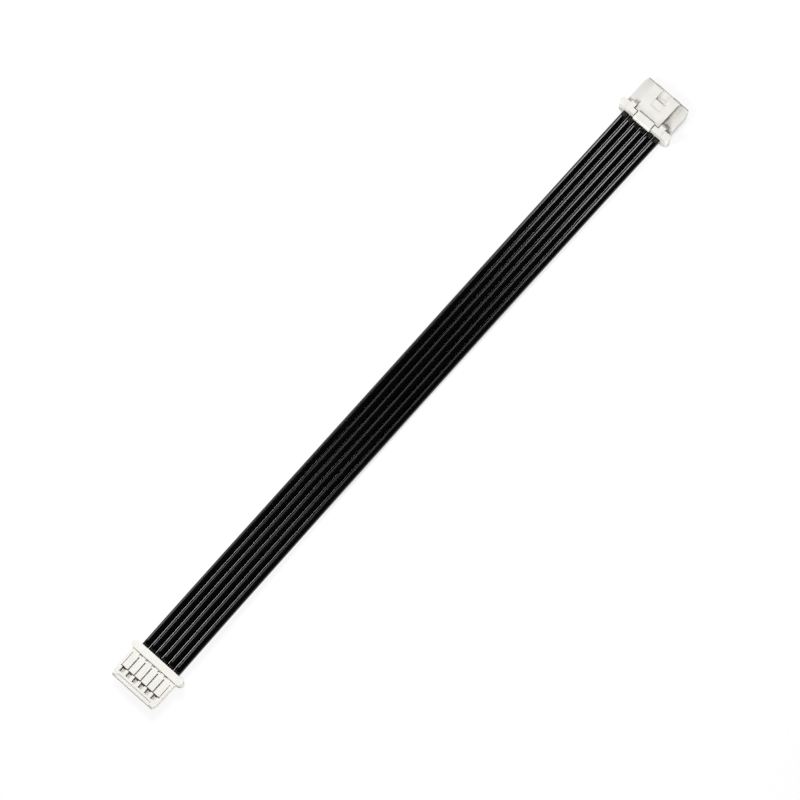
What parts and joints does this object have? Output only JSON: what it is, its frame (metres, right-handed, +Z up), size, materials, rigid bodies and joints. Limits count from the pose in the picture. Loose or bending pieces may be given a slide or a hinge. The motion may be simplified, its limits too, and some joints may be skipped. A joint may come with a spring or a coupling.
{
  "type": "wire harness",
  "caption": "Flat bundle of parallel black insulated wires that joins two small ivory latching plugs, one turned over, to carry power and signals between circuit boards.",
  "frame": {"origin": "on the surface that the harness lies on, midway between the two plugs", "axes": "+X along the wires towards plug A, +Z up from the surface, +Y across the wires"},
  "size_m": [0.1228, 0.0098, 0.0041],
  "materials": {
    "housing": "ivory moulded polyester, satin",
    "contact": "tin-plated bronze, satin",
    "insulation": "black, glossy",
    "core": "tinned copper strands"
  },
  "bodies": {
    "root": {"housing_a": "housing", "housing_b": "housing", "terminal_a1": "contact", "terminal_a2": "contact", "terminal_a3": "contact", "terminal_a4": "contact", "terminal_a5": "contact", "terminal_a6": "contact", "terminal_b1": "contact", "terminal_b2": "contact", "terminal_b3": "contact", "terminal_b4": "contact", "terminal_b5": "contact", "terminal_b6": "contact", "wire_1": "insulation", "wire_2": "insulation", "wire_3": "insulation", "wire_4": "insulation", "wire_5": "insulation", "wire_6": "insulation", "conductor_1": "core", "conductor_2": "core", "conductor_3": "core", "conductor_4": "core", "conductor_5": "core", "conductor_6": "core"}
  },
  "joints": []
}
